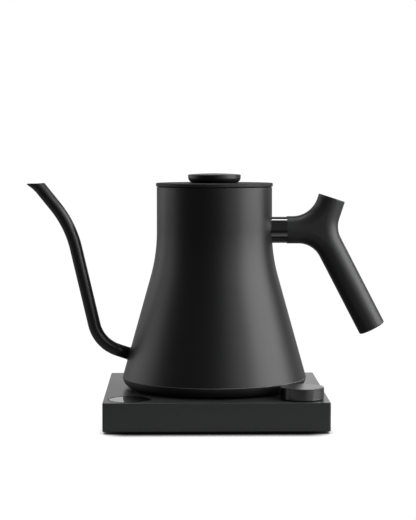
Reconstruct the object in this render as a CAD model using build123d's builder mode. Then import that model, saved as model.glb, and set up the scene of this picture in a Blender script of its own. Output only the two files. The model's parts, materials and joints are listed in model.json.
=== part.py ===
"""Gooseneck electric kettle that stands on a square, corded power base.

The frame: +Z is up, the origin is the centre of the base on the table, -Y is the front with the
display and the dial, -X is the way the spout points and +X is the handle's side.
All sizes are in millimetres.
"""

from build123d import *

import os
from math import atan2, cos, radians, sin, sqrt, tan

# ---------------------------------------------------------------- driving dimensions

# base
BASE_WIDTH = 176.4
BASE_CORNER = 1.5
BASE_WALL = 2.4
FOOT_HEIGHT = 2.0
BASE_TOP = 24.4
PLATE_THICKNESS = 2.6
CORNER_INSET = 20.7  # from the base's sides to the centres of the display and the dial
LENS_RADIUS = 16.5
DIAL_RADIUS = 17.0
DIAL_HEIGHT = 9.1
DIAL_GAP = 0.6
SHAFT_RADIUS = 3.0
GLAND_X = 48.0
GLAND_BORE = 3.6
HOLD_X = -48.0
UNIT_X = -24.0
REAR_CONTROL_Z = 12.0

# kettle body: a neck, a concave flare and a cone, all measured from REST, just over the base's top
REST = BASE_TOP + 0.85
SEAT = REST + 0.3
SEAM = REST + 8.0
GASKET = 0.4
NECK_RADIUS = 47.1
NECK_TOP = REST + 163.8
FLARE_START = REST + 127.2
FLARE_RADIUS = 135.0
CONE_ANGLE = 15.6
WALL = 0.8
FLOOR = REST + 17.0
SEAT_RADIUS = 69.8

# cordless connector, on the kettle's axis
POST_RADIUS = 15.0
POST_HEIGHT = 9.0
CUP_RADIUS = 21.0
CUP_RECESS = 16.0
CUP_ROOF = REST + 11.0

# spout: a bent tube in the XZ plane
TUBE_RADIUS = 5.12
TUBE_BORE = 4.4
SPOUT_ROOT = (-69.5, REST + 26.7)
SPOUT_HEEL = (-94.8, REST + 35.2)
SPOUT_KNEE = (-117.5, REST + 132.5)
SPOUT_TIP_ANGLE = 38.7  # from the vertical
SPOUT_HEEL_RADIUS = 29.0
SPOUT_KNEE_RADIUS = 86.0
MOUTH_BACK = (-138.6, REST + 167.1)
MOUTH_LIP = (-153.3, REST + 165.4)
MOUTH_THROAT = (-140.6, REST + 161.0)
THROAT_REACH = 6.8
MOUTH_HALF_WIDTH = 5.4
MOUTH_LENGTH = 12.0

# handle: an arm, a stub and a grip that meet at one point
HUB = (87.5, REST + 128.5)
HANDLE_RADIUS = 11.2
ARM_START = 59.2
STUB_ANGLE = 18.1
STUB_LENGTH = 27.7
GRIP_ANGLE = 27.5
GRIP_LENGTH = 91.2
COLLAR_RADIUS = 10.8

# lid
LID_RADIUS = 47.7
LID_TOP = REST + 166.9
LINER_DEPTH = 18.0
KNOB_RADIUS = 21.6
KNOB_HEIGHT = 6.8

os.makedirs("parts", exist_ok=True)


def write(piece, name):
    """Labels a finished piece and writes its STEP file."""
    piece.part.label = name
    export_step(piece.part, f"parts/{name}.step")


def body_profile(inset, low, high):
    """The kettle body's half outline, moved in by inset, from the axis between two heights."""
    neck = NECK_RADIUS - inset
    sweep_radius = FLARE_RADIUS + inset
    centre_x = NECK_RADIUS + FLARE_RADIUS
    angle = radians(CONE_ANGLE)
    tangent = (centre_x - sweep_radius * cos(angle), FLARE_START - sweep_radius * sin(angle))
    middle = (centre_x - sweep_radius * cos(angle / 2), FLARE_START - sweep_radius * sin(angle / 2))
    foot = (tangent[0] + (tangent[1] - low) * tan(angle), low)
    with BuildLine() as line:
        Polyline((0, high), (0, low), foot, tangent)
        ThreePointArc(tangent, middle, (neck, FLARE_START))
        Polyline((neck, FLARE_START), (neck, high), (0, high))
    return line


def cone_radius(z, inset=0.0):
    """The radius at a height on the body's cone, moved in by inset."""
    angle = radians(CONE_ANGLE)
    tangent_radius = NECK_RADIUS + FLARE_RADIUS * (1 - cos(angle))
    tangent_z = FLARE_START - FLARE_RADIUS * sin(angle)
    return tangent_radius + (tangent_z - z) * tan(angle) - inset / cos(angle)


# ---------------------------------------------------------------- base

half = BASE_WIDTH / 2
corner = half - CORNER_INSET
display_at = (-corner, -corner)
dial_at = (corner, -corner)
underside = BASE_TOP - BASE_WALL
boss_at = half - 8.0
board_boss_at = [(-corner + 27, -corner), (corner - 27, -corner)]

with BuildPart() as base_top_cover:
    with BuildSketch(Plane.XY.offset(FOOT_HEIGHT)):
        RectangleRounded(BASE_WIDTH, BASE_WIDTH, BASE_CORNER)
    extrude(amount=BASE_TOP - FOOT_HEIGHT)
    fillet(base_top_cover.faces().sort_by(Axis.Z)[-1].edges(), 0.7)
    chamfer(base_top_cover.faces().sort_by(Axis.Z)[0].edges(), 0.4)
    with BuildSketch(Plane.XY.offset(FOOT_HEIGHT)):
        RectangleRounded(BASE_WIDTH - 2 * BASE_WALL, BASE_WIDTH - 2 * BASE_WALL, 1.5)
    extrude(amount=underside - FOOT_HEIGHT, mode=Mode.SUBTRACT)
    # screw bosses at the corners and two for the control board
    with BuildSketch(Plane.XY.offset(FOOT_HEIGHT + PLATE_THICKNESS)):
        with GridLocations(2 * boss_at, 2 * boss_at, 2, 2):
            Circle(4.0)
    extrude(amount=underside - FOOT_HEIGHT - PLATE_THICKNESS)
    with BuildSketch(Plane.XY.offset(12.6)):
        with Locations(*board_boss_at):
            Circle(3.2)
    extrude(amount=underside - 12.6)
    with BuildSketch(Plane.XY.offset(FOOT_HEIGHT)):
        with GridLocations(2 * boss_at, 2 * boss_at, 2, 2):
            Circle(1.6)
    extrude(amount=14.0, mode=Mode.SUBTRACT)
    with BuildSketch(Plane.XY.offset(12.0)):
        with Locations(*board_boss_at):
            Circle(1.3)
    extrude(amount=6.0, mode=Mode.SUBTRACT)
    # openings in the top: lens recess and window, dial bush, connector
    with BuildSketch(Plane.XY.offset(BASE_TOP)):
        with Locations(display_at):
            Circle(LENS_RADIUS + 1.05)
    extrude(amount=-1.5, mode=Mode.SUBTRACT)
    with BuildSketch(Plane.XY.offset(BASE_TOP)):
        with Locations(display_at):
            Circle(LENS_RADIUS - 2.6)
        with Locations(dial_at):
            Circle(3.8)
        Circle(POST_RADIUS + 2.2)
    extrude(amount=-BASE_WALL, mode=Mode.SUBTRACT)
    # openings in the rear wall: cord gland, hold switch slot and unit button
    with BuildSketch(Plane.XZ.offset(-half)):
        with Locations((GLAND_X, REAR_CONTROL_Z)):
            Circle(6.2)
        with Locations((HOLD_X, REAR_CONTROL_Z)):
            RectangleRounded(9.0, 3.6, 0.8)
        with Locations((UNIT_X, REAR_CONTROL_Z)):
            Circle(2.8)
    extrude(amount=BASE_WALL, mode=Mode.SUBTRACT)
write(base_top_cover, "base_top_cover")

FOOT_OUTER = 146.0
FOOT_INNER = 130.0
GROOVE_DEPTH = 1.0
plate_width = BASE_WIDTH - 2 * BASE_WALL - 0.4

with BuildPart() as base_bottom_cover:
    with BuildSketch(Plane.XY.offset(FOOT_HEIGHT)):
        RectangleRounded(plate_width, plate_width, 1.3)
    extrude(amount=PLATE_THICKNESS)
    with BuildSketch(Plane.XY.offset(FOOT_HEIGHT)):
        RectangleRounded(FOOT_OUTER, FOOT_OUTER, 10)
        RectangleRounded(FOOT_INNER, FOOT_INNER, 4, mode=Mode.SUBTRACT)
    extrude(amount=GROOVE_DEPTH, mode=Mode.SUBTRACT)
    with Locations(Plane.XY.offset(FOOT_HEIGHT).rotated((180, 0, 0))):
        with GridLocations(2 * boss_at, 2 * boss_at, 2, 2):
            CounterSinkHole(1.7, 3.4, depth=PLATE_THICKNESS)
    # vents under the power board
    with BuildSketch(Plane.XY.offset(FOOT_HEIGHT)):
        with Locations((0, 45)):
            with GridLocations(7.0, 0, 9, 1):
                SlotOverall(22.0, 2.2, rotation=90)
    extrude(amount=PLATE_THICKNESS, mode=Mode.SUBTRACT)
write(base_bottom_cover, "base_bottom_cover")

with BuildPart() as foot_ring:
    with BuildSketch():
        RectangleRounded(FOOT_OUTER - 0.2, FOOT_OUTER - 0.2, 10)
        RectangleRounded(FOOT_INNER + 0.2, FOOT_INNER + 0.2, 4, mode=Mode.SUBTRACT)
    extrude(amount=FOOT_HEIGHT + GROOVE_DEPTH)
    fillet(foot_ring.faces().sort_by(Axis.Z)[0].edges(), 0.6)
write(foot_ring, "foot_ring")

with BuildPart() as base_screws:
    with Locations((0, 0, FOOT_HEIGHT + 0.2)):
        with GridLocations(2 * boss_at, 2 * boss_at, 2, 2):
            Cone(3.1, 1.5, 1.6, align=(Align.CENTER, Align.CENTER, Align.MIN))
            Cylinder(1.5, 11.5, align=(Align.CENTER, Align.CENTER, Align.MIN))
    with BuildSketch(Plane.XY.offset(FOOT_HEIGHT)):
        with GridLocations(2 * boss_at, 2 * boss_at, 2, 2):
            Rectangle(3.0, 0.7)
            Rectangle(0.7, 3.0)
    extrude(amount=1.1, mode=Mode.SUBTRACT)
write(base_screws, "base_screws")

# connector post with a centre hole and two ring slots
PIN_HOLE = 3.0
POWER_SLOT = (6.6, 9.2)
SIGNAL_SLOT = (10.6, 12.6)
post_foot = 9.0

with BuildPart() as base_socket:
    with BuildSketch(Plane.XY.offset(post_foot)):
        Circle(POST_RADIUS)
    extrude(amount=BASE_TOP + POST_HEIGHT - post_foot)
    fillet(base_socket.faces().sort_by(Axis.Z)[-1].edges(), 1.2)
    with BuildSketch(Plane.XY.offset(BASE_TOP + POST_HEIGHT)):
        Circle(SIGNAL_SLOT[1])
        Circle(SIGNAL_SLOT[0], mode=Mode.SUBTRACT)
        Circle(POWER_SLOT[1])
        Circle(POWER_SLOT[0], mode=Mode.SUBTRACT)
        Circle(PIN_HOLE)
    extrude(amount=-(POST_HEIGHT + 9.0), mode=Mode.SUBTRACT)
write(base_socket, "base_socket")

# flange that holds the post under the cover, with the raised ring the kettle sits on
FLANGE_WIDTH = 8.0
SEAT_RING = 2.0

with BuildPart() as socket_flange:
    with BuildSketch(Plane.XY.offset(post_foot)):
        Circle(POST_RADIUS + FLANGE_WIDTH)
    extrude(amount=underside - post_foot)
    with BuildSketch(Plane.XY.offset(underside)):
        Circle(POST_RADIUS + SEAT_RING)
    extrude(amount=SEAT - 0.1 - underside)
    fillet(socket_flange.faces().sort_by(Axis.Z)[-1].edges(), 0.4)
    with BuildSketch(Plane.XY.offset(post_foot)):
        Circle(POST_RADIUS + 0.02)
    extrude(amount=SEAT - post_foot, mode=Mode.SUBTRACT)
write(socket_flange, "socket_flange")

# sprung contact strips, low in the post's hole and slots
with BuildPart() as socket_contacts:
    with Locations((0, 0, BASE_TOP - 8.5)):
        Cylinder(2.2, 7.0, align=(Align.CENTER, Align.CENTER, Align.MIN))
    for slot in (POWER_SLOT, SIGNAL_SLOT):
        with BuildSketch(Plane.XY.offset(BASE_TOP - 8.0)):
            Circle(slot[1] - 0.5)
            Circle(slot[0] + 0.5, mode=Mode.SUBTRACT)
        extrude(amount=5.5)
write(socket_contacts, "socket_contacts")

with BuildPart() as display_bezel:
    with BuildSketch(Plane.XY.offset(BASE_TOP - 1.5)):
        with Locations(display_at):
            Circle(LENS_RADIUS + 1.0)
            Circle(LENS_RADIUS, mode=Mode.SUBTRACT)
    extrude(amount=1.5 + 0.1)
write(display_bezel, "display_bezel")

with BuildPart() as display_lens:
    with BuildSketch(Plane.XY.offset(BASE_TOP - 1.5)):
        with Locations(display_at):
            Circle(LENS_RADIUS - 0.05)
    extrude(amount=1.45)
    fillet(display_lens.faces().sort_by(Axis.Z)[-1].edges(), 0.2)
write(display_lens, "display_lens")

BOARD_TOP = 12.6

with BuildPart() as display_module:
    with BuildSketch(Plane.XY.offset(BOARD_TOP)):
        with Locations(display_at):
            RectangleRounded(20, 16, 1)
    extrude(amount=underside - 0.3 - BOARD_TOP)
    with BuildSketch(Plane.XY.offset(underside - 0.9)):
        with Locations(display_at):
            Rectangle(18, 13)
    extrude(amount=0.6, mode=Mode.SUBTRACT)
write(display_module, "display_module")

with BuildPart() as control_board:
    with BuildSketch(Plane.XY.offset(BOARD_TOP - 1.6)):
        with Locations((0, -corner)):
            RectangleRounded(2 * corner + 17, 16, 1.5)
        with Locations(*board_boss_at):
            Circle(1.6, mode=Mode.SUBTRACT)
    extrude(amount=1.6)
write(control_board, "control_board")

with BuildPart() as board_screws:
    with Locations(*[(x, y, BOARD_TOP - 1.6) for x, y in board_boss_at]):
        Cylinder(2.6, 1.6, align=(Align.CENTER, Align.CENTER, Align.MAX))
        Cylinder(1.2, 6.5, align=(Align.CENTER, Align.CENTER, Align.MIN))
write(board_screws, "board_screws")

# rotary encoder with a push switch under its shaft
DIAL_PRESS = 0.5
bush_top = BASE_TOP + 3.0

with BuildPart() as encoder_body:
    with BuildSketch(Plane.XY.offset(BOARD_TOP)):
        with Locations(dial_at):
            RectangleRounded(13, 13, 0.8)
    extrude(amount=underside - BOARD_TOP)
    with BuildSketch(Plane.XY.offset(underside)):
        with Locations(dial_at):
            Circle(3.6)
    extrude(amount=bush_top - underside)
    with BuildSketch(Plane.XY.offset(BOARD_TOP + 1.0)):
        with Locations(dial_at):
            Circle(SHAFT_RADIUS + 0.06)
    extrude(amount=bush_top - BOARD_TOP, mode=Mode.SUBTRACT)
write(encoder_body, "encoder_body")

with BuildPart() as encoder_nut:
    with BuildSketch(Plane.XY.offset(BASE_TOP)):
        with Locations(dial_at):
            RegularPolygon(5.6, 6)
            Circle(3.65, mode=Mode.SUBTRACT)
    extrude(amount=2.0)
write(encoder_nut, "encoder_nut")

with BuildPart() as encoder_plunger:
    with BuildSketch(Plane.XY.offset(BOARD_TOP + 1.0 + DIAL_PRESS + 0.3)):
        with Locations(dial_at):
            Circle(SHAFT_RADIUS - 0.4)
    extrude(amount=1.5)
write(encoder_plunger, "encoder_plunger")

DIAL_WALL = 1.6
dial_low = BASE_TOP + DIAL_GAP
dial_top = dial_low + DIAL_HEIGHT
shaft_low = BOARD_TOP + 1.0 + DIAL_PRESS + 2.1

with BuildPart() as dial_shaft:
    with BuildSketch(Plane.XY.offset(shaft_low)):
        with Locations(dial_at):
            Circle(SHAFT_RADIUS)
    extrude(amount=dial_top - DIAL_WALL - 1.2 - shaft_low)
    # flat that drives the hub
    with BuildSketch(Plane.XY.offset(bush_top + 0.5)):
        with Locations((dial_at[0], dial_at[1] + SHAFT_RADIUS)):
            Rectangle(8, 2.4)
    extrude(amount=DIAL_HEIGHT, mode=Mode.SUBTRACT)
write(dial_shaft, "dial_shaft")

with BuildPart() as dial_cap:
    with BuildSketch(Plane.XY.offset(dial_low)):
        with Locations(dial_at):
            Circle(DIAL_RADIUS)
    extrude(amount=DIAL_HEIGHT)
    chamfer(dial_cap.faces().sort_by(Axis.Z)[-1].edges(), 0.45)
    chamfer(dial_cap.faces().sort_by(Axis.Z)[0].edges(), 0.3)
    with BuildSketch(Plane.XY.offset(dial_low)):
        with Locations(dial_at):
            Circle(DIAL_RADIUS - DIAL_WALL)
    extrude(amount=DIAL_HEIGHT - DIAL_WALL, mode=Mode.SUBTRACT)
write(dial_cap, "dial_cap")

with BuildPart() as dial_hub:
    hub_low = dial_low + 3.4
    with BuildSketch(Plane.XY.offset(dial_top - DIAL_WALL)):
        with Locations(dial_at):
            Circle(DIAL_RADIUS - DIAL_WALL - 0.05)
    extrude(amount=-1.2)
    with BuildSketch(Plane.XY.offset(hub_low)):
        with Locations(dial_at):
            Circle(6.4)
    extrude(amount=dial_top - DIAL_WALL - hub_low)
    with BuildSketch(Plane.XY.offset(hub_low)):
        with Locations(dial_at):
            Circle(SHAFT_RADIUS + 0.05)
        with Locations((dial_at[0], dial_at[1] + SHAFT_RADIUS + 0.05)):
            Rectangle(8, 2.4, mode=Mode.SUBTRACT)
    extrude(amount=dial_top - DIAL_WALL - 1.2 - hub_low, mode=Mode.SUBTRACT)
write(dial_hub, "dial_hub")

# mains electronics at the rear
POWER_BOARD = (118.0, 44.0)
POWER_BOARD_Y = 54.0
power_top = FOOT_HEIGHT + PLATE_THICKNESS + 1.4 + 1.6

with BuildPart() as power_board:
    with BuildSketch(Plane.XY.offset(power_top - 1.6)):
        with Locations((0, POWER_BOARD_Y)):
            RectangleRounded(*POWER_BOARD, 2)
            with GridLocations(108, 34, 2, 2):
                Circle(1.7, mode=Mode.SUBTRACT)
    extrude(amount=1.6)
write(power_board, "power_board")


def board_block(size_x, size_y, size_z, x, y, edge=0.6):
    """A rounded component body standing on the power board."""
    with BuildPart() as block:
        with BuildSketch(Plane.XY.offset(power_top)):
            with Locations((x, y)):
                Rectangle(size_x, size_y)
        extrude(amount=size_z)
        fillet(block.edges().filter_by(Axis.Z) + block.faces().sort_by(Axis.Z)[-1].edges(), edge)
    return block


write(board_block(20, 15.5, 11.4, -40, 52), "relay")
write(board_block(18, 16, 11.0, -14, 60), "transformer")
write(board_block(17.5, 7.5, 11.0, 12, 50, 1.2), "filter_capacitor")

with BuildPart() as terminal_block:
    with BuildSketch(Plane.XY.offset(power_top)):
        with Locations((GLAND_X - 14, 66)):
            Rectangle(17, 9)
    extrude(amount=9.5)
    with BuildSketch(Plane.XY.offset(power_top + 9.5)):
        with Locations((GLAND_X - 14, 66)):
            with GridLocations(5.4, 0, 3, 1):
                Circle(1.9)
    extrude(amount=-4.0, mode=Mode.SUBTRACT)
write(terminal_block, "terminal_block")

with BuildPart() as cord_gland:
    with BuildSketch(Plane.XZ.offset(-half - 2.2)):
        with Locations((GLAND_X, REAR_CONTROL_Z)):
            Circle(8.2)
    extrude(amount=2.2)
    with BuildSketch(Plane.XZ.offset(-half)):
        with Locations((GLAND_X, REAR_CONTROL_Z)):
            Circle(6.1)
    extrude(amount=10.0)
    with BuildSketch(Plane.XZ.offset(-half + BASE_WALL + 0.1)):
        with Locations((GLAND_X, REAR_CONTROL_Z)):
            Circle(7.3)
    extrude(amount=2.5)
    fillet(cord_gland.faces().sort_by(Axis.Y)[-1].edges(), 0.8)
    with BuildSketch(Plane.XZ.offset(-half - 2.2)):
        with Locations((GLAND_X, REAR_CONTROL_Z)):
            Circle(GLAND_BORE)
    extrude(amount=12.2, mode=Mode.SUBTRACT)
write(cord_gland, "cord_gland")

# slide switch and push button in the rear wall
HOLD_TRAVEL = 3.0
inner_wall = half - BASE_WALL

with BuildPart() as hold_switch_body:
    with BuildSketch(Plane.XZ.offset(-inner_wall + 0.1)):
        with Locations((HOLD_X, REAR_CONTROL_Z)):
            Rectangle(14, 6.4)
    extrude(amount=6.5)
    with BuildSketch(Plane.XZ.offset(-inner_wall + 0.1)):
        with Locations((HOLD_X, REAR_CONTROL_Z)):
            Rectangle(9.4, 3.4)
    extrude(amount=3.5, mode=Mode.SUBTRACT)
write(hold_switch_body, "hold_switch_body")

with BuildPart() as hold_slider:
    with BuildSketch(Plane.XZ.offset(-inner_wall + 3.0)):
        with Locations((HOLD_X - HOLD_TRAVEL / 2, REAR_CONTROL_Z)):
            RectangleRounded(4.4, 2.6, 0.5)
    extrude(amount=-(BASE_WALL + 3.0 + 1.1))
    with BuildSketch(Plane.XZ.offset(-half - 1.2)):
        with Locations((HOLD_X - HOLD_TRAVEL / 2, REAR_CONTROL_Z)):
            with GridLocations(1.4, 0, 3, 1):
                Rectangle(0.4, 3)
    extrude(amount=0.5, mode=Mode.SUBTRACT)
write(hold_slider, "hold_slider")

UNIT_PRESS = 0.8

with BuildPart() as unit_switch_body:
    with BuildSketch(Plane.XZ.offset(-inner_wall + 2.6)):
        with Locations((UNIT_X, REAR_CONTROL_Z)):
            RectangleRounded(8, 8, 0.6)
    extrude(amount=4.0)
write(unit_switch_body, "unit_switch_body")

with BuildPart() as unit_button:
    with BuildSketch(Plane.XZ.offset(-half - 1.2)):
        with Locations((UNIT_X, REAR_CONTROL_Z)):
            Circle(2.5)
    extrude(amount=1.2 + BASE_WALL + 0.2)
    with BuildSketch(Plane.XZ.offset(-inner_wall + 0.2)):
        with Locations((UNIT_X, REAR_CONTROL_Z)):
            Circle(3.4)
    extrude(amount=1.4)
    fillet(unit_button.faces().sort_by(Axis.Y)[-1].edges(), 0.5)
write(unit_button, "unit_button")

# ---------------------------------------------------------------- kettle body

MOUTH_RADIUS = 41.0
LIP_DEPTH = 7.0

with BuildPart() as body_shell:
    with BuildSketch(Plane.XZ):
        add(body_profile(0, SEAM + GASKET, NECK_TOP).line)
        make_face()
    revolve(axis=Axis.Z)
    fillet(body_shell.faces().sort_by(Axis.Z)[-1].edges(), 0.7)
    with BuildSketch(Plane.XZ):
        add(body_profile(WALL, SEAM + GASKET, NECK_TOP - WALL).line)
        make_face()
    revolve(axis=Axis.Z, mode=Mode.SUBTRACT)
    # the rim turns in, then down
    with BuildSketch(Plane.XY.offset(NECK_TOP - LIP_DEPTH)):
        Circle(MOUTH_RADIUS + WALL)
    extrude(amount=LIP_DEPTH - WALL / 2)
    with BuildSketch(Plane.XY.offset(NECK_TOP - LIP_DEPTH)):
        Circle(MOUTH_RADIUS)
    extrude(amount=LIP_DEPTH, mode=Mode.SUBTRACT)
    # way out to the spout
    root_angle = atan2(SPOUT_HEEL[1] - SPOUT_ROOT[1], SPOUT_ROOT[0] - SPOUT_HEEL[0])
    root_direction = Vector(-cos(root_angle), 0, sin(root_angle))
    root_start = Vector(SPOUT_ROOT[0], 0, SPOUT_ROOT[1]) - root_direction * 12
    with BuildSketch(Plane(origin=root_start, z_dir=root_direction)):
        Circle(TUBE_BORE)
    extrude(amount=14.0, mode=Mode.SUBTRACT)
write(body_shell, "body_shell")

FLOOR_PLATE = 1.2
STUD_CIRCLE = 62.0
STUD_RADIUS = 3.2
cover_floor = SEAT + 2.0
floor_inset = WALL + 0.05

with BuildPart() as kettle_floor:
    with BuildSketch(Plane.XZ):
        with BuildLine():
            Polyline(
                (0, FLOOR),
                (cone_radius(FLOOR, floor_inset), FLOOR),
                (cone_radius(FLOOR + 5.0, floor_inset), FLOOR + 5.0),
                (cone_radius(FLOOR + 5.0, floor_inset) - 1.0, FLOOR + 5.0),
                (cone_radius(FLOOR + 3.0, floor_inset) - 2.2, FLOOR + FLOOR_PLATE),
                (0, FLOOR + FLOOR_PLATE),
                close=True,
            )
        make_face()
    revolve(axis=Axis.Z)
    # threaded posts for the bottom cover
    with BuildSketch(Plane.XY.offset(cover_floor + 0.05)):
        with PolarLocations(STUD_CIRCLE, 3, start_angle=30):
            Circle(STUD_RADIUS)
    extrude(amount=FLOOR - cover_floor - 0.05)
    with BuildSketch(Plane.XY.offset(cover_floor)):
        with PolarLocations(STUD_CIRCLE, 3, start_angle=30):
            Circle(1.6)
    extrude(amount=11.0, mode=Mode.SUBTRACT)
write(kettle_floor, "kettle_floor")

SPREADER_RADIUS = 56.0
SPREADER = 3.0
ELEMENT_CIRCLE = 46.0
ELEMENT_RADIUS = 3.3
element_z = FLOOR - SPREADER - ELEMENT_RADIUS

with BuildPart() as heat_spreader:
    with BuildSketch(Plane.XY.offset(FLOOR - SPREADER)):
        Circle(SPREADER_RADIUS)
    extrude(amount=SPREADER)
    chamfer(heat_spreader.edges().sort_by(Axis.Z)[0], 0.6)
write(heat_spreader, "heat_spreader")

with BuildPart() as heating_element:
    with BuildSketch(Plane.XZ.rotated((0, 0, 25))):
        with Locations((ELEMENT_CIRCLE, element_z)):
            Circle(ELEMENT_RADIUS)
    revolve(axis=Axis.Z, revolution_arc=310)
    # cold ends
    with BuildSketch(Plane.XY.offset(element_z)):
        with PolarLocations(ELEMENT_CIRCLE, 2, start_angle=-27, angular_range=54, endpoint=True):
            Circle(2.4)
    extrude(amount=-5.6)
write(heating_element, "heating_element")

with BuildPart() as temperature_probe:
    with BuildSketch(Plane.XY.offset(FLOOR - SPREADER)):
        with Locations((0, 32)):
            Circle(5.5)
    extrude(amount=-1.2)
    with BuildSketch(Plane.XY.offset(FLOOR - SPREADER - 1.2)):
        with Locations((0, 32)):
            Circle(3.4)
    extrude(amount=-5.0)
    fillet(temperature_probe.faces().sort_by(Axis.Z)[0].edges(), 0.8)
write(temperature_probe, "temperature_probe")

with BuildPart() as thermal_cutout:
    with BuildSketch(Plane.XY.offset(FLOOR - SPREADER)):
        with Locations((-32, 0)):
            Circle(8.0)
    extrude(amount=-3.0)
    with BuildSketch(Plane.XY.offset(FLOOR - SPREADER - 3.0)):
        with Locations((-32, 0)):
            Circle(6.2)
            with GridLocations(0, 16, 1, 2):
                Rectangle(4.0, 8.0)
    extrude(amount=-0.8)
write(thermal_cutout, "thermal_cutout")

# the kettle's half of the cordless connector
CUP_FLANGE = 2.0
cup_skirt = 18.5

with BuildPart() as kettle_connector:
    with BuildSketch(Plane.XY.offset(SEAT + 0.1)):
        Circle(cup_skirt)
    extrude(amount=cover_floor + 0.3 - SEAT - 0.1)
    with BuildSketch(Plane.XY.offset(cover_floor + 0.3)):
        Circle(CUP_RADIUS)
    extrude(amount=CUP_FLANGE)
    with BuildSketch(Plane.XY.offset(cover_floor + 0.3 + CUP_FLANGE)):
        Circle(cup_skirt)
    extrude(amount=CUP_ROOF + 1.8 - cover_floor - 0.3 - CUP_FLANGE)
    with BuildSketch(Plane.XY.offset(SEAT)):
        Circle(CUP_RECESS)
    extrude(amount=CUP_ROOF - SEAT, mode=Mode.SUBTRACT)
write(kettle_connector, "kettle_connector")

pin_low = BASE_TOP - 1.0
ring_low = BASE_TOP - 2.0

with BuildPart() as kettle_contacts:
    with BuildSketch(Plane.XY.offset(CUP_ROOF)):
        Circle(1.7)
    extrude(amount=pin_low - CUP_ROOF)
    fillet(kettle_contacts.faces().sort_by(Axis.Z)[0].edges(), 0.8)
    for slot in (POWER_SLOT, SIGNAL_SLOT):
        with BuildSketch(Plane.XY.offset(CUP_ROOF)):
            Circle((slot[0] + slot[1]) / 2 + 0.4)
            Circle((slot[0] + slot[1]) / 2 - 0.4, mode=Mode.SUBTRACT)
        extrude(amount=ring_low - CUP_ROOF)
write(kettle_contacts, "kettle_contacts")

# plastic cover that closes the kettle's underside
COVER_WALL = 2.0
seam_radius = cone_radius(SEAM)

with BuildPart() as bottom_cover:
    with BuildSketch(Plane.XZ):
        with BuildLine():
            Polyline((SEAT_RADIUS, SEAT), (0, SEAT), (0, SEAM), (seam_radius, SEAM))
            ThreePointArc((seam_radius, SEAM), (seam_radius - 1.5, SEAT + 3.4), (SEAT_RADIUS, SEAT))
        make_face()
    revolve(axis=Axis.Z)
    with BuildSketch(Plane.XZ):
        with BuildLine():
            Polyline(
                (0, cover_floor),
                (SEAT_RADIUS - COVER_WALL, cover_floor),
                (seam_radius - COVER_WALL - 1.0, SEAT + 4.6),
                (seam_radius - COVER_WALL, SEAM),
                (0, SEAM),
                close=True,
            )
        make_face()
    revolve(axis=Axis.Z, mode=Mode.SUBTRACT)
    with BuildSketch(Plane.XY.offset(SEAT)):
        Circle(cup_skirt + 0.4)
    extrude(amount=COVER_WALL, mode=Mode.SUBTRACT)
    with Locations(Plane.XY.offset(SEAT).rotated((180, 0, 0))):
        with PolarLocations(STUD_CIRCLE, 3, start_angle=-30):
            CounterBoreHole(1.7, 3.3, 1.2, depth=COVER_WALL)
write(bottom_cover, "bottom_cover")

with BuildPart() as shell_gasket:
    with BuildSketch(Plane.XY.offset(SEAM)):
        Circle(seam_radius - 0.3)
        Circle(seam_radius - COVER_WALL + 0.1, mode=Mode.SUBTRACT)
    extrude(amount=GASKET)
write(shell_gasket, "shell_gasket")

with BuildPart() as cover_screws:
    with BuildSketch(Plane.XY.offset(SEAT + 0.2)):
        with PolarLocations(STUD_CIRCLE, 3, start_angle=30):
            Circle(2.9)
    extrude(amount=1.0)
    with BuildSketch(Plane.XY.offset(SEAT + 1.2)):
        with PolarLocations(STUD_CIRCLE, 3, start_angle=30):
            Circle(1.5)
    extrude(amount=10.0)
    with BuildSketch(Plane.XY.offset(SEAT + 0.2)):
        with PolarLocations(STUD_CIRCLE, 3, start_angle=30):
            Rectangle(2.8, 0.6)
            Rectangle(0.6, 2.8)
    extrude(amount=0.6, mode=Mode.SUBTRACT)
write(cover_screws, "cover_screws")

# ---------------------------------------------------------------- spout

with BuildPart() as body_outside:
    with BuildSketch(Plane.XZ):
        add(body_profile(-0.02, SEAM, NECK_TOP).line)
        make_face()
    revolve(axis=Axis.Z)

tip_angle = radians(SPOUT_TIP_ANGLE)
tip_direction = Vector(-sin(tip_angle), 0, cos(tip_angle))
knee = Vector(SPOUT_KNEE[0], 0, SPOUT_KNEE[1])


def tip_point(z):
    """The point at a height on the spout's upper leg."""
    return knee + tip_direction * ((z - knee.Z) / cos(tip_angle))


tube_end = tip_point(MOUTH_BACK[1] - MOUTH_LENGTH)
spout_path = FilletPolyline(
    root_start + root_direction * 8.0,
    (SPOUT_HEEL[0], 0, SPOUT_HEEL[1]),
    knee,
    tube_end,
    radius=[SPOUT_HEEL_RADIUS, SPOUT_KNEE_RADIUS],
)
throat = Vector(MOUTH_THROAT[0], 0, MOUTH_THROAT[1])
mouth_centre = Vector((MOUTH_BACK[0] + MOUTH_LIP[0]) / 2, 0, (MOUTH_BACK[1] + MOUTH_LIP[1]) / 2)
mouth_axis = Vector(MOUTH_BACK[0] - MOUTH_LIP[0], 0, MOUTH_BACK[1] - MOUTH_LIP[1])
mouth_plane = Plane(origin=mouth_centre, x_dir=mouth_axis, z_dir=mouth_axis.cross(Vector(0, 1, 0)))


def mouth_sections(wall):
    """The three sections of the pouring mouth, moved in by wall: tube, throat and lip."""
    with BuildSketch(Plane(origin=tube_end, x_dir=(0, 1, 0), z_dir=tip_direction)) as tube:
        Circle(TUBE_RADIUS - wall)
    with BuildSketch(Plane(origin=throat, x_dir=(0, 1, 0), z_dir=(0, 0, 1))) as neck:
        Ellipse(TUBE_RADIUS - wall, THROAT_REACH - wall / cos(tip_angle))
    with BuildSketch(Plane(origin=mouth_centre, x_dir=(0, 1, 0), z_dir=mouth_plane.z_dir)) as lip:
        Ellipse(MOUTH_HALF_WIDTH - 0.6 * wall, mouth_axis.length / 2 - 0.6 * wall)
    return tube.sketch, neck.sketch, lip.sketch


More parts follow.
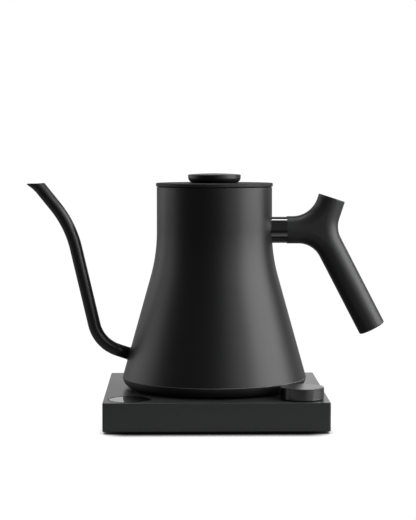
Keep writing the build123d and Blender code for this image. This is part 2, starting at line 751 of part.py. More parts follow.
with BuildPart() as spout_tube:
    with BuildSketch(Plane(origin=spout_path @ 0, z_dir=spout_path % 0)):
        Circle(TUBE_RADIUS)
    sweep(path=spout_path)
    loft(sections=mouth_sections(0))
    with BuildSketch(Plane(origin=spout_path @ 0, z_dir=spout_path % 0)):
        Circle(TUBE_BORE)
    sweep(path=spout_path, mode=Mode.SUBTRACT)
    loft(sections=mouth_sections(TUBE_RADIUS - TUBE_BORE), mode=Mode.SUBTRACT)
    add(body_outside.part, mode=Mode.SUBTRACT)
write(spout_tube, "spout_tube")

# ---------------------------------------------------------------- handle

# direction of each limb in the XZ plane from +X, with its length from the hub
ARM = (180.0, HUB[0] - ARM_START)
STUB = (90.0 - STUB_ANGLE, STUB_LENGTH)
GRIP = (GRIP_ANGLE - 90.0, GRIP_LENGTH)
BLENDS = (20.0, 19.6, 21.3)  # stub to grip, grip to arm, arm to stub
hub = Vector(HUB[0], 0, HUB[1])


def limb_plane(limb, distance):
    """The plane across a limb at a distance from the hub, looking outwards."""
    angle = radians(limb[0])
    direction = Vector(cos(angle), 0, sin(angle))
    return Plane(origin=hub + direction * distance, x_dir=(0, 1, 0), z_dir=direction)


BORE_RADIUS = 9.0
ROD_RADIUS = 8.9
STUB_FLOOR = 13.6
GRIP_FLOOR = 15.0
CAP_THICKNESS = 2.4

with BuildPart() as handle_shell:
    with BuildSketch(Plane.XZ.offset(-HANDLE_RADIUS)) as outline:
        for angle, length in (ARM, STUB, GRIP):
            with Locations(HUB):
                Rectangle(length, 2 * HANDLE_RADIUS, rotation=angle, align=(Align.MIN, Align.CENTER))
        crotches = outline.vertices().sort_by_distance((HUB[0], HUB[1], 0))[:3]
        for crotch, radius in zip(crotches, BLENDS):
            fillet(outline.vertices().sort_by_distance(crotch)[0], radius)
    extrude(amount=2 * HANDLE_RADIUS)
    ends = [limb_plane(limb, limb[1]).origin for limb in (ARM, STUB, GRIP)]
    rails = handle_shell.faces().filter_by(Axis.Y).edges()
    rails = rails.filter_by(lambda e: min((e.center() - end).length for end in ends) > HANDLE_RADIUS + 0.1)
    fillet(rails, HANDLE_RADIUS - 0.1)
    fillet(handle_shell.faces().sort_by_distance(ends[1])[0].edges(), 0.9)
    fillet(handle_shell.faces().sort_by_distance(ends[2])[0].edges(), 1.2)
    # bores for the rod, the screw and the weight
    for limb, floor in ((ARM, -6.0), (STUB, STUB_FLOOR), (GRIP, GRIP_FLOOR)):
        with BuildSketch(limb_plane(limb, limb[1])):
            Circle(BORE_RADIUS)
        extrude(amount=floor - limb[1], mode=Mode.SUBTRACT)
    with BuildSketch(limb_plane(STUB, STUB_FLOOR)):
        Circle(2.3)
    extrude(amount=-STUB_FLOOR, mode=Mode.SUBTRACT)
write(handle_shell, "handle_shell")

# metal rod welded to the neck, which carries the handle
with BuildPart() as handle_rod:
    with BuildSketch(Plane.YZ.offset(NECK_RADIUS - 2)):
        with Locations((0, HUB[1])):
            Circle(ROD_RADIUS)
    extrude(amount=HUB[0] + 5.5 - NECK_RADIUS + 2)
    chamfer(handle_rod.faces().sort_by(Axis.X)[-1].edges(), 0.8)
    with BuildSketch(limb_plane(STUB, HANDLE_RADIUS)):
        Circle(2.05)
    extrude(amount=-HANDLE_RADIUS - 4.0, mode=Mode.SUBTRACT)
    add(body_outside.part, mode=Mode.SUBTRACT)
write(handle_rod, "handle_rod")

with BuildPart() as handle_collar:
    with BuildSketch(Plane.YZ.offset(NECK_RADIUS - 2)):
        with Locations((0, HUB[1])):
            Circle(COLLAR_RADIUS)
            Circle(ROD_RADIUS + 0.05, mode=Mode.SUBTRACT)
    extrude(amount=ARM_START - NECK_RADIUS + 2)
    add(body_outside.part, mode=Mode.SUBTRACT)
write(handle_collar, "handle_collar")

with BuildPart() as handle_screw:
    with BuildSketch(limb_plane(STUB, STUB_FLOOR)):
        Circle(4.0)
    extrude(amount=2.6)
    fillet(handle_screw.faces().sort_by(Axis.Z)[-1].edges(), 0.8)
    with BuildSketch(limb_plane(STUB, STUB_FLOOR + 2.6)):
        RegularPolygon(1.8, 6)
    extrude(amount=-1.8, mode=Mode.SUBTRACT)
    with BuildSketch(limb_plane(STUB, STUB_FLOOR)):
        Circle(2.0)
    extrude(amount=-STUB_FLOOR - 3.0)
write(handle_screw, "handle_screw")


def end_cap(limb):
    """A round cap with a skirt, pressed into the open end of a limb, its face a little inside."""
    with BuildPart() as cap:
        with BuildSketch(limb_plane(limb, limb[1] - 0.2)):
            Circle(BORE_RADIUS - 0.05)
        extrude(amount=-CAP_THICKNESS - 2.6)
        fillet(cap.faces().sort_by_distance(limb_plane(limb, limb[1]).origin)[0].edges(), 0.35)
        with BuildSketch(limb_plane(limb, limb[1] - 0.2 - CAP_THICKNESS)):
            Circle(BORE_RADIUS - 1.6)
        extrude(amount=-2.6, mode=Mode.SUBTRACT)
    return cap


write(end_cap(STUB), "stub_cap")
write(end_cap(GRIP), "grip_cap")

with BuildPart() as balance_weight:
    with BuildSketch(limb_plane(GRIP, GRIP_FLOOR)):
        Circle(BORE_RADIUS - 0.05)
    extrude(amount=GRIP_LENGTH - GRIP_FLOOR - 20.0)
    chamfer(balance_weight.edges().filter_by(GeomType.CIRCLE), 1.0)
write(balance_weight, "balance_weight")

# ---------------------------------------------------------------- lid

lid_low = NECK_TOP + 0.3
KNOB_FOOT = 16.6
SLEEVE_RADIUS = 39.9
PLATE = 1.0

with BuildPart() as lid_plate:
    with BuildSketch(Plane.XY.offset(lid_low)):
        Circle(LID_RADIUS)
    extrude(amount=LID_TOP - lid_low)
    fillet(lid_plate.faces().sort_by(Axis.Z)[-1].edges(), 0.9)
    fillet(lid_plate.faces().sort_by(Axis.Z)[0].edges(), 0.5)
    with BuildSketch(Plane.XY.offset(lid_low)):
        Circle(LID_RADIUS - PLATE)
    extrude(amount=LID_TOP - lid_low - PLATE, mode=Mode.SUBTRACT)
    with BuildSketch(Plane.XY.offset(LID_TOP)):
        Circle(2.3)
    extrude(amount=-PLATE, mode=Mode.SUBTRACT)
write(lid_plate, "lid_plate")

liner_top = LID_TOP - PLATE

with BuildPart() as lid_liner:
    with BuildSketch(Plane.XY.offset(liner_top)):
        Circle(LID_RADIUS - PLATE - 0.1)
    extrude(amount=lid_low + 0.1 - liner_top)
    with BuildSketch(Plane.XY.offset(lid_low + 0.1)):
        Circle(SLEEVE_RADIUS)
    extrude(amount=-LINER_DEPTH)
    fillet(lid_liner.faces().sort_by(Axis.Z)[0].edges(), 0.8)
    with BuildSketch(Plane.XY.offset(lid_low + 0.1 - LINER_DEPTH)):
        Circle(SLEEVE_RADIUS - 1.4)
    extrude(amount=LINER_DEPTH, mode=Mode.SUBTRACT)
    # seat for the seal band
    with BuildSketch(Plane.XY.offset(lid_low - 7.0)):
        Circle(SLEEVE_RADIUS + 1)
        Circle(SLEEVE_RADIUS - 0.6, mode=Mode.SUBTRACT)
    extrude(amount=3.0, mode=Mode.SUBTRACT)
    # steam vents round the sleeve
    with Locations(Plane.XY.offset(lid_low - LINER_DEPTH + 4.5)):
        with PolarLocations(SLEEVE_RADIUS - 0.7, 12, start_angle=15):
            Cylinder(2.0, 6.0, rotation=(0, 90, 0), mode=Mode.SUBTRACT)
    with BuildSketch(Plane.XY.offset(liner_top)):
        Circle(4.6)
    extrude(amount=-3.0, mode=Mode.SUBTRACT)
write(lid_liner, "lid_liner")

with BuildPart() as lid_seal:
    with BuildSketch(Plane.XY.offset(lid_low - 6.95)):
        Circle(SLEEVE_RADIUS + 0.5)
        Circle(SLEEVE_RADIUS - 0.55, mode=Mode.SUBTRACT)
    extrude(amount=2.9)
    fillet(lid_seal.edges().filter_by(GeomType.CIRCLE).group_by(SortBy.RADIUS)[-1], 0.4)
write(lid_seal, "lid_seal")

knob_top = LID_TOP + KNOB_HEIGHT
DOME = 1.0
dome_radius = (KNOB_RADIUS**2 + DOME**2) / (2 * DOME)
dome_shoulder = knob_top + DOME - dome_radius + sqrt(dome_radius**2 - KNOB_RADIUS**2 / 4)

with BuildPart() as lid_knob:
    with BuildSketch(Plane.XZ) as knob_outline:
        with BuildLine():
            Line((0, LID_TOP), (KNOB_FOOT, LID_TOP))
            ThreePointArc(
                (KNOB_FOOT, LID_TOP),
                (KNOB_RADIUS - 1.5, LID_TOP + 1.25),
                (KNOB_RADIUS - 0.15, LID_TOP + 3.9),
            )
            Line((KNOB_RADIUS - 0.15, LID_TOP + 3.9), (KNOB_RADIUS, knob_top))
            ThreePointArc((KNOB_RADIUS, knob_top), (KNOB_RADIUS / 2, dome_shoulder), (0, knob_top + DOME))
            Line((0, knob_top + DOME), (0, LID_TOP))
        make_face()
        fillet(knob_outline.vertices().sort_by_distance((KNOB_RADIUS, knob_top, 0))[0], 0.8)
    revolve(axis=Axis.Z)
    with BuildSketch(Plane.XY.offset(LID_TOP)):
        Circle(4.05)
    extrude(amount=5.0, mode=Mode.SUBTRACT)
write(lid_knob, "lid_knob")

with BuildPart() as knob_insert:
    with BuildSketch(Plane.XY.offset(LID_TOP + 0.05)):
        Circle(4.0)
        Circle(2.05, mode=Mode.SUBTRACT)
    extrude(amount=4.9)
write(knob_insert, "knob_insert")

with BuildPart() as knob_screw:
    with BuildSketch(Plane.XY.offset(liner_top)):
        Circle(4.2)
    extrude(amount=-2.2)
    fillet(knob_screw.faces().sort_by(Axis.Z)[0].edges(), 0.9)
    with BuildSketch(Plane.XY.offset(liner_top - 2.2)):
        Rectangle(4.2, 0.8)
        Rectangle(0.8, 4.2)
    extrude(amount=1.2, mode=Mode.SUBTRACT)
    with BuildSketch(Plane.XY.offset(liner_top)):
        Circle(2.0)
    extrude(amount=PLATE + 4.4)
write(knob_screw, "knob_screw")
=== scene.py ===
"""Looks for the gooseneck kettle on its square power base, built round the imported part."""

import json
from math import atan2, cos, degrees, hypot, pi, radians, sin, tan

import bmesh
import bpy
from mathutils import Matrix, Vector


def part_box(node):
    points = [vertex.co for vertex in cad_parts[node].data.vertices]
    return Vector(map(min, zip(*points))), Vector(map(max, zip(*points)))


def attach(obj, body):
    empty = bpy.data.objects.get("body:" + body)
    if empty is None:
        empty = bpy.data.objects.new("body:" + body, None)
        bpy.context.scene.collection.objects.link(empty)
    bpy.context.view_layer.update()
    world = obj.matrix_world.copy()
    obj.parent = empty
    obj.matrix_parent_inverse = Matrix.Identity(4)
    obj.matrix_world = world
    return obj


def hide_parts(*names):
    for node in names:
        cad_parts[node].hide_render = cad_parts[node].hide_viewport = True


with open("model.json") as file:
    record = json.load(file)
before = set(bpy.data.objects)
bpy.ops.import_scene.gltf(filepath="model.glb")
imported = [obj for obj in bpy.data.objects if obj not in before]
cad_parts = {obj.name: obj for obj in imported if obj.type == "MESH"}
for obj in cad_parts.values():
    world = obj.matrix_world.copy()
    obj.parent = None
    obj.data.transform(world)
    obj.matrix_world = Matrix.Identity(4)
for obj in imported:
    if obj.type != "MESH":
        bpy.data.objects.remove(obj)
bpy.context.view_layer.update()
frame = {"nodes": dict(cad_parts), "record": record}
MM = 0.001

# ---------------------------------------------------------------- shader tools


class Number:
    """A number in a node tree, which takes Python's operators as Math nodes."""

    def __init__(self, recipe, socket):
        self.recipe = recipe
        self.socket = socket

    def __add__(self, other):
        return self.recipe.maths("ADD", self, other)

    def __sub__(self, other):
        return self.recipe.maths("SUBTRACT", self, other)

    def __mul__(self, other):
        return self.recipe.maths("MULTIPLY", self, other)

    def __rsub__(self, other):
        return self.recipe.maths("SUBTRACT", other, self)

    __radd__ = __add__
    __rmul__ = __mul__


class Recipe:
    """A node tree being written: nodes, maths and the usual patterns."""

    def __init__(self, tree):
        self.tree = tree
        self.tree.nodes.clear()

    def put(self, socket, value):
        """Feeds a socket with a plain value, a Number or another node's socket."""
        if isinstance(value, Number):
            value = value.socket
        if isinstance(value, bpy.types.NodeSocket):
            self.tree.links.new(value, socket)
        else:
            socket.default_value = value

    def node(self, kind, settings=None, stops=(), **sockets):
        """A node of this kind: its settings and ramp stops first, then its sockets by name."""
        made = self.tree.nodes.new(kind)
        for setting, value in (settings or {}).items():
            setattr(made, setting, value)
        for index, (position, level) in enumerate(stops):
            ramp = made.color_ramp.elements
            stop = ramp[index] if index < 2 else ramp.new(position)
            stop.position = position
            stop.color = (level, level, level, 1)
        for name, value in sockets.items():
            self.put(made.inputs[name.replace("_", " ")], value)
        return made

    def maths(self, operation, *values):
        made = self.node("ShaderNodeMath", {"operation": operation})
        for socket, value in zip(made.inputs, values):
            self.put(socket, value)
        return Number(self, made.outputs[0])

    def ease(self, value, start, end, low=0.0, high=1.0):
        """A smooth step from low to high as the value goes from start to end."""
        made = self.node("ShaderNodeMapRange", {"interpolation_type": "SMOOTHSTEP"})
        for index, given in enumerate((value, start, end, low, high)):
            self.put(made.inputs[index], given)
        return Number(self, made.outputs[0])

    def ramp(self, value, *stops):
        """A grey ramp through (position, level) stops."""
        made = self.node("ShaderNodeValToRGB", None, stops, Fac=value)
        return Number(self, made.outputs[0])

    def split(self, vector):
        """The X, Y and Z of a vector."""
        made = self.node("ShaderNodeSeparateXYZ", Vector=vector)
        return [Number(self, output) for output in made.outputs]


class Finish(Recipe):
    """One node material with a Principled shader."""

    def __init__(self, name, **sockets):
        self.material = bpy.data.materials.new(name)
        self.material.use_nodes = True
        super().__init__(self.material.node_tree)
        self.shader = self.node("ShaderNodeBsdfPrincipled", **sockets)
        self.node("ShaderNodeOutputMaterial", Surface=self.shader.outputs[0])
        self.place = self.node("ShaderNodeTexCoord").outputs["Object"]

    def centred(self, centre, stretch=(1, 1, 1)):
        """Object coordinates moved to a centre and stretched."""
        shift = [-value * factor for value, factor in zip(centre, stretch)]
        made = self.node("ShaderNodeMapping", Vector=self.place, Location=shift, Scale=stretch)
        return made.outputs[0]

    def noise(self, scale, detail=2.0, stretch=(1, 1, 1), centre=(0, 0, 0)):
        """Noise about 0.5, with scale in features per metre."""
        where = self.centred(centre, stretch)
        made = self.node("ShaderNodeTexNoise", Vector=where, Scale=scale, Detail=detail)
        return Number(self, made.outputs["Fac"])

    def cells(self, scale):
        """Distance within cells, with scale in cells per metre."""
        made = self.node("ShaderNodeTexVoronoi", Vector=self.place, Scale=scale)
        return Number(self, made.outputs["Distance"])

    def distance_from(self, centre):
        """The distance from an upright axis through a centre."""
        x, y = self.split(self.centred(centre))[:2]
        return self.maths("SQRT", x * x + y * y)

    def set(self, **sockets):
        """Feeds the shader's own sockets."""
        for name, value in sockets.items():
            self.put(self.shader.inputs[name.replace("_", " ")], value)

    def colour(self, mask, low, high):
        """Base colour from low to high by a mask from 0 to 1."""
        made = self.node("ShaderNodeMix", {"data_type": "RGBA"})
        factor, first, second = (made.inputs[index] for index in (0, 6, 7))
        self.put(factor, mask)
        self.put(first, (*low, 1))
        self.put(second, (*high, 1))
        self.set(Base_Color=made.outputs[2])

    def bump(self, height, depth_mm):
        """Surface relief from a height of 0 to 1."""
        made = self.node("ShaderNodeBump", Height=height, Distance=depth_mm * MM, Strength=1.0)
        self.set(Normal=made.outputs[0])
        return self.material


# ---------------------------------------------------------------- finishes


def grey(level, warmth=0.0):
    """A grey colour, slightly blue where warmth is negative."""
    return (level * (1 + warmth), level, level * (1 - warmth))


def powder_coat(name, shade, roughness, depth=0.004):
    """Baked matte powder coat: fine orange peel under a sandy grain, and a drifting sheen."""
    finish = Finish(name, Specular_IOR_Level=0.5)
    drift = finish.noise(24, 3)
    peel = finish.noise(900, 2)
    sand = finish.cells(3200)
    finish.set(Roughness=roughness + 0.05 * (drift - 0.5) + 0.05 * (peel - 0.5) + 0.04 * (sand - 0.4))
    finish.colour(sand, grey(0.8 * shade, -0.03), grey(1.25 * shade, -0.03))
    return finish.bump(0.7 * peel + 0.5 * sand, depth)


def moulded(name, shade, roughness, grain=2600, depth=0.01, warmth=-0.02):
    """Injection-moulded plastic: a fine spark-eroded texture with rubbed, smoother drifts."""
    finish = Finish(name, Specular_IOR_Level=0.5)
    flow = finish.noise(30, 4, (1, 1, 0.4))
    texture = finish.cells(grain)
    finish.set(Roughness=roughness + 0.08 * (flow - 0.5) + 0.08 * (texture - 0.4))
    finish.colour(texture, grey(0.75 * shade, warmth), grey(1.3 * shade, warmth))
    return finish.bump(texture, depth)


def polished(name, shade, roughness):
    """Polished metal with long hairlines and faint wiped marks."""
    finish = Finish(name, Metallic=1.0)
    hairlines = finish.noise(220, 4, (1, 14, 14))
    wipes = finish.noise(60, 3)
    finish.set(Roughness=roughness + 0.05 * (wipes - 0.5) + 0.03 * (hairlines - 0.5))
    finish.colour(hairlines, grey(0.92 * shade), grey(1.06 * shade))
    return finish.bump(hairlines, 0.002)


def turned(name, centre, shade, roughness, pitch=0.35):
    """Metal turned on a lathe: rings round an upright axis, broken by fine scratches."""
    finish = Finish(name, Metallic=1.0)
    radius = finish.distance_from(centre)
    rings = finish.maths("SINE", radius * (2 * pi / (pitch * MM)))
    streak = finish.noise(1500, 2, (1, 1, 0.2), centre)
    level = 0.5 + 0.3 * rings + 0.5 * (streak - 0.5)
    finish.set(Roughness=roughness + 0.08 * (level - 0.5))
    finish.colour(level, grey(0.8 * shade), grey(1.15 * shade))
    return finish.bump(level, 0.004)


def brushed(name, colour, roughness, stretch=(1, 1, 30)):
    """Brushed metal with its grain across one axis."""
    finish = Finish(name, Metallic=1.0)
    grain = finish.noise(300, 4, stretch)
    stain = finish.noise(40, 3)
    finish.set(Roughness=roughness + 0.12 * (grain - 0.5) + 0.08 * (stain - 0.5))
    finish.colour(grain, [0.8 * part for part in colour], [min(1.0, 1.12 * part) for part in colour])
    return finish.bump(grain, 0.004)


def glass_black(name):
    """Tinted display glass over a black print, with the faintest ripple and dust."""
    finish = Finish(name, IOR=1.52, Coat_IOR=1.5, Coat_Roughness=0.02)
    dust = finish.ease(finish.noise(2600, 1), 0.7, 0.78)
    ripple = finish.noise(60, 1)
    finish.set(Roughness=0.02 + 0.12 * dust, Coat_Weight=0.6 - 0.1 * dust)
    finish.colour(dust, grey(0.003), grey(0.012))
    return finish.bump(ripple, 0.002)


def elastic(name, shade, roughness, warmth=0.0, subsurface=0.0):
    """Rubber or silicone: dull, with a fine bloom and mould grain."""
    finish = Finish(name, Specular_IOR_Level=0.4, Subsurface_Weight=subsurface)
    bloom = finish.noise(90, 4)
    grain = finish.cells(1800)
    finish.set(Roughness=roughness + 0.12 * (bloom - 0.5) + 0.06 * (grain - 0.4))
    finish.colour(bloom, grey(0.75 * shade, warmth), grey(1.25 * shade, warmth))
    return finish.bump(grain, 0.012)


def circuit_board(name):
    """Solder mask over copper tracks, with bare pads."""
    finish = Finish(name, Specular_IOR_Level=0.5, Coat_Roughness=0.15)
    x, y = finish.split(finish.place)[:2]
    wander = 1.3 * finish.maths("SINE", y * 380)
    tracks = finish.ease(finish.maths("SINE", x * 2400 + wander), 0.55, 0.75)
    pads = 1 - finish.ease(finish.cells(240), 0.16, 0.2)
    finish.set(Metallic=0.85 * pads, Roughness=0.35 - 0.1 * tracks, Coat_Weight=0.4 - 0.4 * pads)
    mask = finish.node("ShaderNodeMix", {"data_type": "RGBA"})
    for index, value in ((0, tracks), (6, (0.008, 0.07, 0.03, 1)), (7, (0.02, 0.16, 0.06, 1))):
        finish.put(mask.inputs[index], value)
    copper = finish.node("ShaderNodeMix", {"data_type": "RGBA"})
    for index, value in ((0, pads), (6, mask.outputs[2]), (7, (0.75, 0.55, 0.3, 1))):
        finish.put(copper.inputs[index], value)
    finish.set(Base_Color=copper.outputs[2])
    return finish.bump(0.6 * tracks + 0.4 * pads, 0.03)


def middle(node):
    """The centre of a node's box."""
    low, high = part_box(node)
    return (low + high) / 2


MATERIALS = {
    "body_coat": powder_coat("matte_body_coat", 0.0085, 0.40),
    "lid_coat": powder_coat("matte_lid_coat", 0.0085, 0.62),
    "spout_coat": powder_coat("matte_spout_coat", 0.015, 0.3, 0.0008),
    "base_coat": powder_coat("satin_base_coat", 0.044, 0.29, 0.003),
    "handle_plastic": moulded("handle_moulding", 0.024, 0.41, 2600, 0.0015),
    "knob_plastic": moulded("knob_moulding", 0.006, 0.36),
    "black_plastic": moulded("black_moulding", 0.009, 0.4, 1800, 0.02),
    "collar_metal": polished("polished_collar", 0.25, 0.05),
    "dial_metal": turned("turned_dial", middle("dial_cap"), 0.165, 0.29),
    "display_glass": glass_black("display_glass"),
    "rubber": elastic("foot_rubber", 0.02, 0.7),
    "silicone": elastic("seal_silicone", 0.3, 0.5, 0.03, 0.1),
    "steel": brushed("brushed_steel", grey(0.56), 0.28, (1, 1, 30)),
    "aluminium": brushed("cast_aluminium", grey(0.62, -0.01), 0.4, (6, 6, 6)),
    "brass": brushed("nickelled_brass", (0.62, 0.47, 0.26), 0.3, (20, 1, 1)),
    "pcb": circuit_board("circuit_board"),
}

for part in frame["record"]["subparts"]:
    mesh = frame["nodes"][part["node"]].data
    mesh.materials.clear()
    mesh.materials.append(MATERIALS[part["material_slot"]])

# ---------------------------------------------------------------- pieces shaped here


def mm(*values):
    """Millimetres as a vector in metres."""
    return Vector([value * MM for value in values])


def finish_piece(name, shape, slot, body, replaced=(), sharp=35):
    """Turns a bmesh into a named piece that rides on a body and takes a slot's finish."""
    bmesh.ops.remove_doubles(shape, verts=shape.verts, dist=0.01 * MM)
    bmesh.ops.recalc_face_normals(shape, faces=shape.faces)
    for face in shape.faces:
        face.smooth = True
    mesh = bpy.data.meshes.new(name)
    shape.to_mesh(mesh)
    shape.free()
    mesh.set_sharp_from_angle(angle=radians(sharp))
    mesh.materials.append(MATERIALS[slot])
    piece = bpy.data.objects.new(name, mesh)
    bpy.context.collection.objects.link(piece)
    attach(piece, body)
    if replaced:
        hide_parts(*replaced)
    return piece


def ring_of(made):
    """The last vertices and edges that a spin or an extrusion made."""
    geometry = made.get("geom_last") or made["geom"]
    return [item for item in geometry if isinstance(item, (bmesh.types.BMVert, bmesh.types.BMEdge))]


def corners_of(ring):
    """The vertices of a ring."""
    return [item for item in ring if isinstance(item, bmesh.types.BMVert)]


def draw_out(shape, ring, matrix):
    """Extrudes a ring of edges and moves the new ring by a matrix."""
    edges = [item for item in ring if isinstance(item, bmesh.types.BMEdge)]
    ring = ring_of(bmesh.ops.extrude_edge_only(shape, edges=edges))
    bmesh.ops.transform(shape, matrix=matrix, verts=corners_of(ring))
    return ring


CLEARANCE = 0.85
# heights on the kettle count from its underside, in mm
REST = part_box("base_top_cover")[1].z / MM + CLEARANCE
CONE_LEAN = 15.6
SPOUT_RADIUS = 5.12
SPOUT_WALL = 0.72
SPOUT_CORNERS = ((-69.0, 26.53), (-94.8, 35.2), (-117.5, 132.5), (-135.6, 155.1))
SPOUT_BENDS = (29.0, 86.0)
DEGREES_A_STEP = 1.6
WELD_RADIUS = 0.55
WELD_FROM_ROOT = 0.85
# the mouth's rings: back edge, front edge and half width
MOUTH_RINGS = (
    ((-133.3, 160.4), (-143.05, 156.2), 5.12),
    ((-134.9, 162.4), (-145.7, 159.5), 5.12),
    ((-136.3, 164.2), (-148.6, 162.3), 5.15),
    ((-137.5, 165.7), (-151.0, 164.1), 5.25),
    ((-138.5, 166.85), (-153.15, 165.75), 5.38),
)


def spout_piece():
    """The gooseneck: a ring drawn out along its legs, spun round its bends and flared to a mouth."""
    corners = [mm(x, 0, REST + z) for x, z in SPOUT_CORNERS]
    legs = [(after - before).normalized() for before, after in zip(corners, corners[1:])]
    shape = bmesh.new()
    turn = Vector((0, 0, 1)).rotation_difference(legs[0]).to_matrix().to_4x4()
    bmesh.ops.create_circle(shape, segments=64, radius=SPOUT_RADIUS * MM, cap_ends=False,
                            matrix=Matrix.Translation(corners[0]) @ turn)
    ring = shape.verts[:] + shape.edges[:]
    at = corners[0]
    for corner, before, after, radius in zip(corners[1:], legs, legs[1:], SPOUT_BENDS):
        swing = before.angle(after)
        bend_start = corner - before * radius * MM * tan(swing / 2)
        ring = draw_out(shape, ring, Matrix.Translation(bend_start - at))
        axis = before.cross(after).normalized()
        centre = bend_start + axis.cross(before) * radius * MM
        steps = round(degrees(swing) / DEGREES_A_STEP)
        made = bmesh.ops.spin(shape, geom=ring, cent=centre, axis=axis, angle=swing, steps=steps)
        ring = ring_of(made)
        at = corner + after * radius * MM * tan(swing / 2)
    ring = draw_out(shape, ring, Matrix.Translation(corners[-1] - at))
    # each mouth ring is the last one turned, stretched and moved
    at = corners[-1]
    tilt = atan2(-legs[-1].x, legs[-1].z)
    reach, half_width = SPOUT_RADIUS, SPOUT_RADIUS
    for (back_x, back_z), (front_x, front_z), next_width in MOUTH_RINGS:
        centre = mm((back_x + front_x) / 2, 0, REST + (back_z + front_z) / 2)
        next_reach = hypot(back_x - front_x, back_z - front_z) / 2
        next_tilt = atan2(back_z - front_z, back_x - front_x)
        lie = Matrix.Rotation(tilt, 4, "Y")
        stretch = Matrix.Diagonal((next_reach / reach, next_width / half_width, 1, 1))
        lay = Matrix.Rotation(-next_tilt, 4, "Y")
        move = Matrix.Translation(centre) @ lay @ stretch @ lie @ Matrix.Translation(-at)
        ring = draw_out(shape, ring, move)
        at, tilt, reach, half_width = centre, next_tilt, next_reach, next_width
    piece = finish_piece("gooseneck", shape, "spout_coat", "kettle", ("spout_tube",), 60)
    wall = piece.modifiers.new("wall", "SOLIDIFY")
    wall.thickness = SPOUT_WALL * MM
    # the open tube's normals face its bore, so the wall grows inwards along them
    wall.offset = 1
    return piece


def weld_bead():
    """The smoothed weld where the spout leaves the body."""
    start, end = (mm(x, 0, REST + z) for x, z in SPOUT_CORNERS[:2])
    leg = (end - start).normalized()
    # the ring leans to lie on the body's cone
    seat = start + leg * WELD_FROM_ROOT * MM
    lean = Vector((-cos(radians(CONE_LEAN)), 0, sin(radians(CONE_LEAN))))
    shape = bmesh.new()
    side = lean.cross(Vector((0, 1, 0))).normalized()
    turn = Matrix((side, lean, side.cross(lean))).transposed().to_4x4()
    spot = Matrix.Translation(seat + side * SPOUT_RADIUS * MM) @ turn
    bmesh.ops.create_circle(shape, segments=14, radius=WELD_RADIUS * MM, cap_ends=False, matrix=spot)
    bmesh.ops.spin(shape, geom=shape.verts[:] + shape.edges[:], cent=seat, axis=lean, angle=2 * pi,
                   steps=64, use_merge=True)
    return finish_piece("spout_weld", shape, "spout_coat", "kettle")


# the fill marks' rows: height, how many bars, their radius and their lean
FILL_ROWS = ((112, 5, 46.15, 2.5), (60, 3, 59.95, CONE_LEAN))
BAR_SIZE = (0.5, 3.0, 0.9)
BAR_SPACING = 5.0
BAR_EDGE = 0.15


def level_marks():
    """Bars at two fill heights: the lower ones in the wall, the upper ones just clear of it."""
    shape = bmesh.new()
    size = Matrix.Diagonal((*mm(*BAR_SIZE), 1))
    for height, count, radius, degrees_over in FILL_ROWS:
        lean = Matrix.Rotation(radians(degrees_over), 4, "Y")
        for index in range(count):
            turn = Matrix.Rotation(radians(90 + BAR_SPACING * (index - (count - 1) / 2)), 4, "Z")
            place = turn @ Matrix.Translation(mm(radius, 0, REST + height))
            made = bmesh.ops.create_cube(shape, size=1, matrix=place @ lean @ size)
            edges = {edge for corner in made["verts"] for edge in corner.link_edges}
            bmesh.ops.bevel(shape, geom=list(edges), offset=BAR_EDGE * MM, affect="EDGES", segments=2,
                            profile=0.5, material=-1)
    return finish_piece("fill_marks", shape, "steel", "kettle")


RIBS = 16
RIB_CIRCLE = 7.2
RIB_LENGTH = 2.0
RIB_ROOT, RIB_TIP = 0.5, 0.3
RIB_SETBACK = 1.2


def gland_ribs():
    """Ribs round the cord outlet's face."""
    low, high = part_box("cord_gland")
    shape = bmesh.new()
    centre = Vector(((low.x + high.x) / 2, 0, (low.z + high.z) / 2))
    outwards = Matrix.Rotation(radians(-90), 4, "X")
    reach = Matrix.Translation(Vector((RIB_CIRCLE * MM, high.y - RIB_SETBACK * MM, 0)))
    for index in range(RIBS):
        turn = Matrix.Rotation(radians(360 / RIBS * index), 4, "Y")
        place = Matrix.Translation(centre) @ turn @ reach @ outwards
        bmesh.ops.create_cone(shape, cap_ends=True, segments=10, radius1=RIB_ROOT * MM,
                              radius2=RIB_TIP * MM, depth=RIB_LENGTH * MM, matrix=place)
    return finish_piece("outlet_ribs", shape, "rubber", "base")


spout_piece()
weld_bead()
level_marks()
gland_ribs()

# ---------------------------------------------------------------- camera, light and floor

LENS = 114.7
CAMERA_SPOT = (-0.0285, -1.3534)
CAMERA_ABOVE_BASE = 0.19382
LOOKS_DOWN, LOOKS_RIGHT = 3.77, 0.985
base_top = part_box("base_top_cover")[1].z
camera = bpy.data.objects.new("camera", bpy.data.cameras.new("camera"))
camera.data.lens = LENS
camera.location = Vector((*CAMERA_SPOT, base_top + CAMERA_ABOVE_BASE))
camera.rotation_euler = (radians(90 - LOOKS_DOWN), 0, radians(-LOOKS_RIGHT))
camera.data.clip_start = 0.05
bpy.context.collection.objects.link(camera)
bpy.context.scene.camera = camera
bpy.context.scene.view_settings.view_transform = "Standard"


AIM = (0, 0, 0.1)


def softbox(name, place, size, power):
    """A rectangular area light, turned to the kettle."""
    light = bpy.data.objects.new(name, bpy.data.lights.new(name, "AREA"))
    light.data.shape = "RECTANGLE"
    light.data.size, light.data.size_y = size
    light.data.energy = power
    light.location = place
    light.rotation_euler = (Vector(AIM) - Vector(place)).to_track_quat("-Z", "Y").to_euler()
    bpy.context.collection.objects.link(light)


softbox("right_box", (1.25, -0.22, 0.5), (1.25, 1.3), 22.5)
softbox("front_right_box", (1.0, -1.1, 0.6), (1.3, 1.3), 5.6)
softbox("left_box", (-1.2, 0.42, 0.5), (1.2, 1.2), 5.4)
softbox("top_strip", (0.05, 0.24, 1.3), (1.6, 0.24), 5.5)

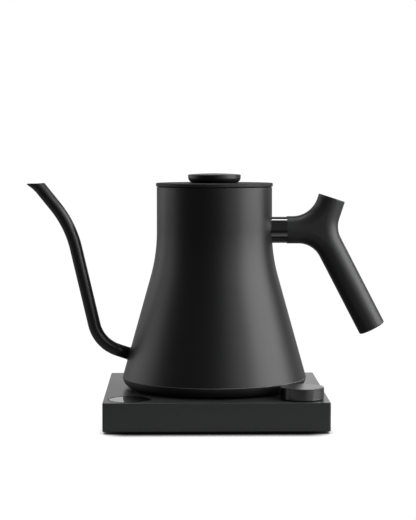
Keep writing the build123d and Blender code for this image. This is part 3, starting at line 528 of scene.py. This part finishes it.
DIM_ROOM, LIT_BACKDROP = 0.068, 0.93
world = bpy.data.worlds.new("world")
bpy.context.scene.world = world
world.use_nodes = True
studio = Recipe(world.node_tree)
towards_x, towards_y, towards_z = studio.split(studio.node("ShaderNodeTexCoord").outputs["Generated"])
backdrop = studio.ease(towards_y, 0.58, 0.98) * studio.ease(towards_z, 0.75, 0.3)
backdrop *= studio.ease(towards_x, -0.07, 0.06, 0.6, 1.0)
seen = Number(studio, studio.node("ShaderNodeLightPath").outputs["Is Camera Ray"])
strength = seen + (1 - seen) * (DIM_ROOM + LIT_BACKDROP * backdrop)
sky = studio.node("ShaderNodeBackground", Strength=strength, Color=(1, 1, 1, 1))
studio.node("ShaderNodeOutputWorld", Surface=sky.outputs[0])

DIM_FLOOR, LIT_FLOOR = 0.03, 0.22
FLOOR_SIZE = 30
SHADOW_REACH = 0.022
floor_shape = bmesh.new()
bmesh.ops.create_grid(floor_shape, x_segments=1, y_segments=1, size=FLOOR_SIZE)
floor_mesh = bpy.data.meshes.new("floor")
floor_shape.to_mesh(floor_mesh)
floor = bpy.data.objects.new("floor", floor_mesh)
bpy.context.collection.objects.link(floor)
floor_finish = Finish("white_floor", Base_Color=(0, 0, 0, 1), Roughness=1.0, Specular_IOR_Level=0.0,
                      Emission_Color=(1, 1, 1, 1))
occlusion = floor_finish.node("ShaderNodeAmbientOcclusion", {"samples": 16}, Distance=SHADOW_REACH)
nearby = occlusion.outputs["AO"]
floor_x, floor_y = floor_finish.split(floor_finish.place)[:2]
front = floor_finish.ease(floor_y, -0.07, -0.082)
front *= floor_finish.ease(floor_finish.maths("ABSOLUTE", floor_x), 0.096, 0.07)
front_stops = ((0.0, 0.0), (0.5, 0.02), (0.62, 0.2), (0.76, 0.75), (0.84, 1.02))
front_shade = floor_finish.ramp(nearby, *front_stops)
side_shade = floor_finish.ramp(nearby, (0.0, 0.01), (0.25, 0.08), (0.45, 0.72), (0.62, 1.02))
seen = Number(floor_finish, floor_finish.node("ShaderNodeLightPath").outputs["Is Camera Ray"])
lit = floor_finish.ease(floor_y, -0.4, -0.12)
level = seen + (1 - seen) * (DIM_FLOOR + LIT_FLOOR * lit)
floor_finish.set(Emission_Strength=level * (side_shade + front * (front_shade - side_shade)))
floor.data.materials.append(floor_finish.material)
